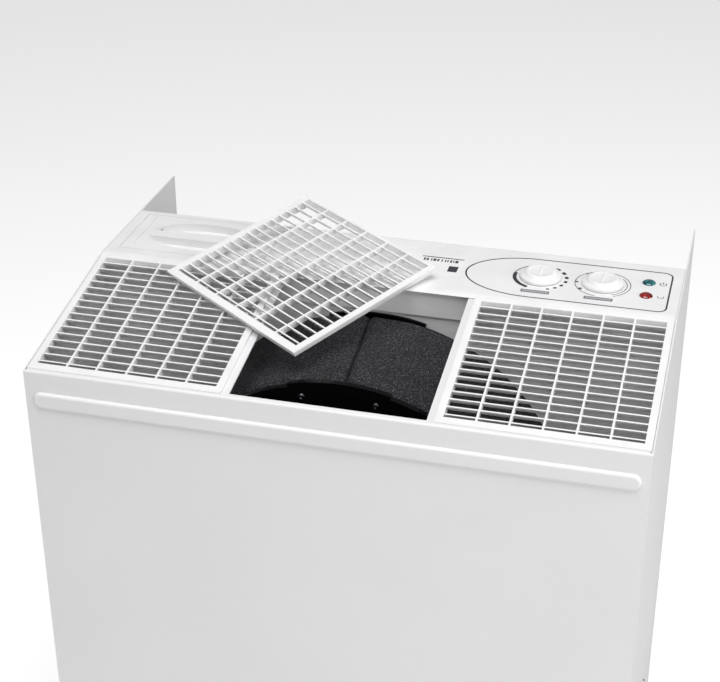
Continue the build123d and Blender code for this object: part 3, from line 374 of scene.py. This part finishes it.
FINISHES = {
    "painted_steel": PAINT, "galvanised_steel": ZINC, "white_plastic": ABS_WHITE, "screw_steel": STEEL,
    "black_plastic": ABS_BLACK, "foam": FOAM, "rubber": RUBBER, "motor_paint": ENAMEL,
    "fin_aluminium": ALUMINIUM, "copper": COPPER, "tank_plastic": TANK_POLYMER, "runner_plastic": ABS_GREY,
    "filter_gauze": GAUZE, "green_lens": GREEN, "red_lens": RED, "board": BOARD,
}


def finish_frame():
    """Gives every CAD node the finish of its slot; the grilles and the bulkhead differ."""
    for part in frame["record"]["subparts"]:
        own = NODES[part["node"]]
        finish = FINISHES[part["material_slot"]]
        if part["node"].startswith("grille"):
            finish = ABS_GRILLE
        if part["node"] == "bulkhead":
            finish = PAINT
        own.data.materials.clear()
        own.data.materials.append(finish)


# ---- mesh helpers
def piece(name, bm, finish, body, sharp=35.0):
    """Makes an object of a bmesh, smooth but for edges sharper than the given angle."""
    bmesh.ops.remove_doubles(bm, verts=bm.verts, dist=1e-6)
    bmesh.ops.recalc_face_normals(bm, faces=bm.faces)
    for face in bm.faces:
        face.smooth = True
    for edge in bm.edges:
        if len(edge.link_faces) == 2:
            edge.smooth = edge.calc_face_angle(0.0) < math.radians(sharp)
    mesh = bpy.data.meshes.new(name)
    bm.to_mesh(mesh)
    bm.free()
    mesh.materials.append(finish)
    own = bpy.data.objects.new(name, mesh)
    SCENE.collection.objects.link(own)
    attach(own, body)
    return own


def bevelled(own, width_mm, segments=3, angle=35.0):
    made = own.modifiers.new("edges", "BEVEL")
    made.width = width_mm * MM
    made.segments = segments
    made.limit_method = "ANGLE"
    made.angle_limit = math.radians(angle)
    return own


def spun(bm, profile, origin, axis=(0, 0, 1), steps=96):
    """Turns a closed or axis-to-axis profile of (radius, height) points about an axis through origin."""
    axis = Vector(axis)
    out = Vector((1, 0, 0))
    origin = Vector(origin)
    verts = [bm.verts.new(origin + out * r * MM + axis * h * MM) for r, h in profile]
    edges = [bm.edges.new(pair) for pair in zip(verts, verts[1:])]
    bmesh.ops.spin(bm, geom=verts + edges, cent=origin, axis=axis, angle=2 * math.pi, steps=steps, use_merge=True)
    return bm


def raised(bm, faces, height_mm):
    """Gives flat faces a thickness upwards, as a closed shell."""
    made = bmesh.ops.extrude_face_region(bm, geom=faces)
    moved = [v for v in made["geom"] if isinstance(v, bmesh.types.BMVert)]
    bmesh.ops.translate(bm, verts=moved, vec=(0, 0, height_mm * MM))


def box_mesh(bm, low, high):
    low, high = Vector(low), Vector(high)
    made = bmesh.ops.create_cube(bm, size=1.0)
    bmesh.ops.scale(bm, verts=made["verts"], vec=high - low)
    bmesh.ops.translate(bm, verts=made["verts"], vec=(low + high) / 2)
    return made["verts"]


# ---- dials and their printed scales
DIALS = {"humidity": centre("humidity_knob"), "fan": centre("fan_knob")}
KNOB_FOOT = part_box("humidity_knob")[0].z
INK_T = 0.12  # print thickness, drawn thick enough to be a closed shell
SCALE_IN, SCALE_OUT = 25.2, 28.6  # printed ring, radii


def knob(name, body, middle):
    """Low knob of soft concentric steps, dished in the middle."""
    bm = bmesh.new()
    profile = [(0, 0), (21.9, 0), (21.9, 2.4), (21.0, 3.6), (18.6, 4.2), (17.4, 4.6), (16.4, 6.0), (15.2, 7.0),
               (13.2, 7.4), (12.2, 7.1), (8.0, 6.7), (0, 6.6)]
    spun(bm, profile, (middle.x, middle.y, KNOB_FOOT))
    own = piece(name, bm, ABS_WHITE, body, sharp=50)
    bevelled(own, 0.6, 3, 25)
    return own


def pointer(name, body, middle, turn):
    """A moulded ridge across the cap that shows where the dial points."""
    bm = bmesh.new()
    z = KNOB_FOOT + 6.4 * MM
    verts = box_mesh(bm, (middle.x - 1.1 * MM, middle.y - 12 * MM, z),
                     (middle.x + 1.1 * MM, middle.y + 12.5 * MM, z + 0.8 * MM))
    bmesh.ops.rotate(bm, verts=verts, cent=(middle.x, middle.y, 0), matrix=Matrix.Rotation(turn, 3, "Z"))
    return bevelled(piece(name, bm, ABS_WHITE, body), 0.4, 2)


def ring_band(bm, middle, inner, outer, start, sweep, z, steps=24):
    """A flat band round a dial from start through sweep degrees, anticlockwise from +X. Radii may taper."""
    a, b = (inner if isinstance(inner, tuple) else (inner, inner)), (outer if isinstance(outer, tuple) else (outer, outer))
    first = math.radians(start)
    ends = [bm.verts.new((middle.x + r * MM * math.cos(first), middle.y + r * MM * math.sin(first), z))
            for r in (a[0], b[0])]
    edge = bm.edges.new(ends)
    before = set(bm.faces)
    bmesh.ops.spin(bm, geom=ends + [edge], cent=(middle.x, middle.y, z), axis=(0, 0, 1),
                   angle=math.radians(sweep), steps=steps)
    faces = [f for f in bm.faces if f not in before]
    for vert in {v for f in faces for v in f.verts}:
        flat = Vector((vert.co.x - middle.x, vert.co.y - middle.y, 0))
        turned = math.degrees(math.atan2(flat.y, flat.x)) - start
        share = min(1.0, max(0.0, abs((turned + 180 * (1 if sweep > 0 else -1)) % 360
                                      - 180 * (1 if sweep > 0 else -1)) / abs(sweep))) if a[0] != a[1] or b[0] != b[1] else 0
        was_outer = abs(flat.length / MM - b[0]) < abs(flat.length / MM - a[0])
        radius = (b[0] + (b[1] - b[0]) * share) if was_outer else (a[0] + (a[1] - a[0]) * share)
        flat.normalize()
        vert.co.x, vert.co.y = middle.x + flat.x * radius * MM, middle.y + flat.y * radius * MM
    raised(bm, faces, INK_T)


PRINT_Z = TOP_Z + 0.05 * MM


def humidity_scale():
    """Thick arc on the dry side and blocks that shrink towards the wet side."""
    bm = bmesh.new()
    at = DIALS["humidity"]
    ring_band(bm, at, 24.8, 28.8, 168, 80, PRINT_Z, 30)
    ring_band(bm, at, (24.8, 27.6), (28.8, 28.6), 168, -44, PRINT_Z, 20)
    for i, (turn, wide) in enumerate(((56, 12), (33, 11.5), (11, 10.5), (-10, 9.5), (-30, 8.5), (-49, 7.5), (-66, 6))):
        deep = 4.3 - 0.3 * i
        ring_band(bm, at, 28.8 - deep, 28.8, turn - wide / 2, wide, PRINT_Z, 5)
    piece("humidity_scale", bm, INK, "cabinet")


def fan_scale():
    """Fine double ring with two marks at the left for the two speeds."""
    bm = bmesh.new()
    at = DIALS["fan"]
    ring_band(bm, at, 28.1, 28.8, 118, 142, PRINT_Z, 40)
    ring_band(bm, at, 24.5, 25.2, -62, 180, PRINT_Z, 40)
    ring_band(bm, at, 28.1, 28.8, -62, 180, PRINT_Z, 40)
    piece("fan_scale_rings", bm, INK, "cabinet")
    bm = bmesh.new()
    ring_band(bm, at, 25.4, 28.2, 124, 10, PRINT_Z, 5)
    for turn, long in ((182, 3.4), (216, 5.0)):
        a = math.radians(turn)
        x, y = at.x + 26.6 * MM * math.cos(a), at.y + 26.6 * MM * math.sin(a)
        for blade in range(3):
            grid = bmesh.ops.create_grid(bm, x_segments=1, y_segments=1, size=0.5)
            bmesh.ops.scale(bm, verts=grid["verts"], vec=(long * MM, 0.9 * MM, 1))
            bmesh.ops.rotate(bm, verts=grid["verts"], cent=(0, 0, 0), matrix=Matrix.Rotation(blade * math.pi / 3, 3, "Z"))
            bmesh.ops.translate(bm, verts=grid["verts"], vec=(x, y, PRINT_Z + blade * 0.02 * MM))
            raised(bm, list({f for v in grid["verts"] for f in v.link_faces}), INK_T)
    piece("fan_scale_marks", bm, INK, "cabinet")


def flat_block(bm, x, y, wide, deep, turn=0.0, lift=0.0):
    grid = bmesh.ops.create_grid(bm, x_segments=1, y_segments=1, size=0.5)
    bmesh.ops.scale(bm, verts=grid["verts"], vec=(wide * MM, deep * MM, 1))
    bmesh.ops.rotate(bm, verts=grid["verts"], cent=(0, 0, 0), matrix=Matrix.Rotation(turn, 3, "Z"))
    bmesh.ops.translate(bm, verts=grid["verts"], vec=(x, y, PRINT_Z + lift * MM))
    raised(bm, list({f for v in grid["verts"] for f in v.link_faces}), INK_T)


def label_bars():
    """A plain bar under each dial where a label would be."""
    bm = bmesh.new()
    for at in DIALS.values():
        flat_block(bm, at.x - 0.5 * MM, at.y - 34 * MM, 27.4, 4.4)
    piece("label_bars", bm, HALF_TONE, "cabinet")
    bm = bmesh.new()
    for at in DIALS.values():
        for side in (-1, 1):
            flat_block(bm, at.x - 0.5 * MM, at.y + (-34 + side * 2.5) * MM, 28.6, 0.9, lift=0.04)
            flat_block(bm, at.x + (-0.5 + side * 14.0) * MM, at.y - 34 * MM, 0.9, 5.6, lift=0.06)
    piece("label_frames", bm, INK, "cabinet")


def outline_points():
    """Bullet outline round the controls: a half-ellipse at the left, round corners at the right."""
    right, low, high = centre("power_lens").x + 22.5 * MM, CONSOLE_Y + 13 * MM, CONSOLE_Y + 102.5 * MM
    mid, half, corner = (low + high) / 2, (high - low) / 2, 9 * MM
    nose, tip = 70 * MM, DIALS["humidity"].x - 77.5 * MM
    points = []
    for i in range(33):
        a = math.pi / 2 + math.pi * i / 32
        points.append((tip + nose + nose * math.cos(a), mid + half * math.sin(a)))
    for cx, cy, start in ((right - corner, low + corner, -90), (right - corner, high - corner, 0)):
        for i in range(9):
            a = math.radians(start + 90 * i / 8)
            points.append((cx + corner * math.cos(a), cy + corner * math.sin(a)))
    return points


def flat_line(name, points, width_mm, closed, finish, z):
    """A printed line along points, as a flattened tube made a mesh."""
    data = bpy.data.curves.new(name, "CURVE")
    data.dimensions = "3D"
    data.bevel_depth = width_mm * MM / 2
    data.bevel_resolution = 2
    data.use_fill_caps = not closed
    line = data.splines.new("POLY")
    line.points.add(len(points) - 1)
    for point, (x, y) in zip(line.points, points):
        point.co = (x, y, 0, 1)
    line.use_cyclic_u = closed
    holder = bpy.data.objects.new(name + "_line", data)
    mesh = bpy.data.meshes.new_from_object(holder)
    bpy.data.objects.remove(holder)
    bm = bmesh.new()
    bm.from_mesh(mesh)
    bpy.data.meshes.remove(mesh)
    bmesh.ops.scale(bm, verts=bm.verts, vec=(1, 1, 0.25))
    bmesh.ops.translate(bm, verts=bm.verts, vec=(0, 0, z))
    return piece(name, bm, finish, "cabinet")


def lamp_symbols():
    """A power sign beside the green lamp and an open vessel beside the red one."""
    green, red = centre("power_lens"), centre("tank_full_lens")
    at = Vector((green.x + 14.5 * MM, green.y, 0))
    arc = [(at.x + 3.4 * MM * math.cos(math.radians(a)), at.y + 3.4 * MM * math.sin(math.radians(a)))
           for a in range(125, 416, 15)]
    flat_line("power_sign_ring", arc, 0.9, False, INK, PRINT_Z)
    flat_line("power_sign_stroke", [(at.x, at.y + 0.2 * MM), (at.x, at.y + 4.4 * MM)], 0.9, False, INK, PRINT_Z)
    at = Vector((red.x + 14.5 * MM, red.y, 0))
    vessel = [(at.x - 3.0 * MM, at.y + 2.1 * MM), (at.x - 2.4 * MM, at.y - 1.9 * MM), (at.x + 2.4 * MM, at.y - 1.9 * MM),
              (at.x + 3.0 * MM, at.y + 2.1 * MM)]
    flat_line("vessel_sign", vessel, 0.9, False, INK, PRINT_Z)


def lamp_lens(name, node, finish):
    """Domed lens with a raised rim, standing on the console."""
    low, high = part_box(node)
    at = centre(node)
    bm = bmesh.new()
    spun(bm, [(0, -10), (4.9, -10), (4.9, 0), (6.8, 0), (6.8, 0.7), (6.3, 1.2), (5.4, 1.9), (4.0, 2.4), (2.0, 2.6),
              (0, 2.65)], (at.x, at.y, TOP_Z), steps=48)
    own = piece(name, bm, finish, "cabinet", sharp=50)
    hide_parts(node)


def small_label():
    """A plain printed label near the middle: a bar along its top, a few bars and a block that say nothing."""
    bm = bmesh.new()
    x0, y1 = 30 * MM, CONSOLE_Y + 82 * MM
    box_mesh(bm, (x0, y1 - 44 * MM, TOP_Z + 0.02 * MM), (x0 + 46 * MM, y1, TOP_Z + 0.14 * MM))
    piece("small_label", bm, ABS_GRILLE, "cabinet")
    bm = bmesh.new()
    flat_block(bm, x0 + 23 * MM, y1 - 1.5 * MM, 45, 1.6, lift=0.12)
    draw = random.Random(7)
    x = 3.0
    while x < 42:
        wide = draw.choice((1.2, 2.0, 3.2))
        flat_block(bm, x0 + (x + wide / 2) * MM, y1 - 8 * MM, wide, 5.5, lift=0.12)
        x += wide + draw.choice((1.2, 1.8, 2.6))
    flat_block(bm, x0 + 38 * MM, y1 - 26 * MM, 10, 13, lift=0.12)
    piece("small_label_print", bm, INK, "cabinet")


# ---- foam wrap
SEAM_MM = 1.6
SEAM_FRONT_MM, SEAM_REAR_MM = 5.0, -7.0  # the seam runs askew from right at the front to left


def foam_wrap():
    """Foam mat wound round the drum: full edges, a butt seam on top, and ends that curl at the front."""
    bm = bmesh.new()
    inner = (DRUM_HIGH.x - DRUM_LOW.x) / 2 - 8 * MM + 0.4 * MM
    outer = (FOAM_HIGH.x - FOAM_LOW.x) / 2
    rows = 26
    y0, y1 = FOAM_LOW.y, FOAM_HIGH.y
    gap = SEAM_MM * MM / outer
    mid = (inner + outer) / 2
    for i in range(rows + 1):
        bm.verts.new((math.sin(gap / 2) * mid, y0 + (y1 - y0) * i / rows, DRUM_Z + math.cos(gap / 2) * mid))
    bm.verts.ensure_lookup_table()
    edges = [bm.edges.new((bm.verts[i], bm.verts[i + 1])) for i in range(rows)]
    bmesh.ops.spin(bm, geom=list(bm.verts) + edges, cent=(0, 0, DRUM_Z), axis=(0, 1, 0),
                   angle=2 * math.pi - gap, steps=300)
    bmesh.ops.recalc_face_normals(bm, faces=bm.faces)
    thick = outer - inner
    bmesh.ops.solidify(bm, geom=list(bm.faces), thickness=thick)
    for vert in bm.verts:
        radial = Vector((vert.co.x, 0, vert.co.z - DRUM_Z))
        length = radial.length
        if length > mid:
            shape_foam(vert, radial, inner, outer, y0, y1)
        along = (vert.co.y - y0) / (y1 - y0)
        askew = (SEAM_FRONT_MM + (SEAM_REAR_MM - SEAM_FRONT_MM) * along) * MM / outer
        turn = Matrix.Rotation(askew, 3, "Y")
        vert.co = turn @ (vert.co - Vector((0, 0, DRUM_Z))) + Vector((0, 0, DRUM_Z))
    own = piece("foam_lagging", bm, FOAM, "cabinet", sharp=80)
    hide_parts("foam_wrap")
    return own


def shape_foam(vert, radial, inner, outer, y0, y1):
    """Moves one point of the outer skin: rounded rims, a soft valley at the seam and slow waves."""
    direction = radial.normalized()
    angle = math.atan2(direction.x, direction.z)
    along = (vert.co.y - y0) / (y1 - y0)
    edge = min(along, 1 - along) * (y1 - y0) / MM
    rim = 4.0 * max(0.0, 1 - edge / 6.0) ** 2
    seam_mm = abs(angle) * outer / MM
    seam = 3.0 * math.exp(-(seam_mm / 3.0) ** 2)
    curl = 4.0 * math.exp(-((seam_mm - 9) / 5) ** 2) * math.exp(-(along / 0.14) ** 2)
    notch = 8.5 * math.exp(-((seam_mm - 20) / 4) ** 2) * math.exp(-(along / 0.09) ** 2) * (angle < 0)
    wave = 0.7 * math.sin(angle * 9 + 1.3) * math.sin(along * 5 + angle * 3) + 0.5 * math.sin(angle * 23 + along * 9)
    radius = outer / MM - 2.0 - rim - seam - notch + 0.6 * curl + wave
    radius = max(inner / MM + 0.8, min(outer / MM, radius))
    vert.co = Vector((0, vert.co.y, DRUM_Z)) + direction * radius * MM


# ---- drum ring screws
def ring_screws():
    """Pan-head screws round the drum's front ring, each with a round dimple in its head."""
    bm = bmesh.new()
    low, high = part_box("fan_ring_screws")
    y = low.y
    r = 190 * MM
    first = math.radians(11.25)
    at = Vector((r * math.sin(first), y, DRUM_Z + r * math.cos(first)))
    spun(bm, [(0, 2.0), (0.5, 1.2), (1.6, 0.2), (2.4, 0.5), (3.3, 1.3), (3.6, 2.4), (1.5, 2.4), (1.5, 8.0), (0, 8.2)], at,
         axis=(0, 1, 0), steps=20)
    bmesh.ops.spin(bm, geom=list(bm.verts) + list(bm.edges) + list(bm.faces), cent=(0, y, DRUM_Z), axis=(0, 1, 0),
                   angle=2 * math.pi * 15 / 16, steps=15, use_duplicate=True)
    own = piece("ring_screws", bm, BLACK_STEEL, "cabinet")
    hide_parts("fan_ring_screws")


def floor():
    bm = bmesh.new()
    bmesh.ops.create_grid(bm, x_segments=1, y_segments=1, size=8.0)
    mesh = bpy.data.meshes.new("floor")
    bm.to_mesh(mesh)
    bm.free()
    mesh.materials.append(floor_paint())
    own = bpy.data.objects.new("floor", mesh)
    SCENE.collection.objects.link(own)


def grip_dot():
    """Small moulded mark beside the grip."""
    bm = bmesh.new()
    low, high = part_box("console_lid")
    spun(bm, [(0, 0.5), (1.2, 0.5), (1.9, 0.2), (1.9, 0), (0, 0)], (low.x + 29 * MM, centre("console_lid").y + 8 * MM, high.z),
         steps=24)
    piece("grip_mark", bm, ABS_GREY, "console_lid")


camera()
studio()
finish_frame()
floor()
for dial, turn in (("humidity", 0.0), ("fan", 0.0)):
    own = knob(dial + "_dial_cap", dial + "_dial", DIALS[dial])
    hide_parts(dial + "_knob")
    pointer(dial + "_pointer", dial + "_dial", DIALS[dial], turn)
humidity_scale()
fan_scale()
label_bars()
flat_line("control_outline", outline_points(), 1.7, True, INK, PRINT_Z)
lamp_symbols()
lamp_lens("green_lamp", "power_lens", GREEN)
lamp_lens("red_lamp", "tank_full_lens", RED)
small_label()
foam_wrap()
ring_screws()
grip_dot()
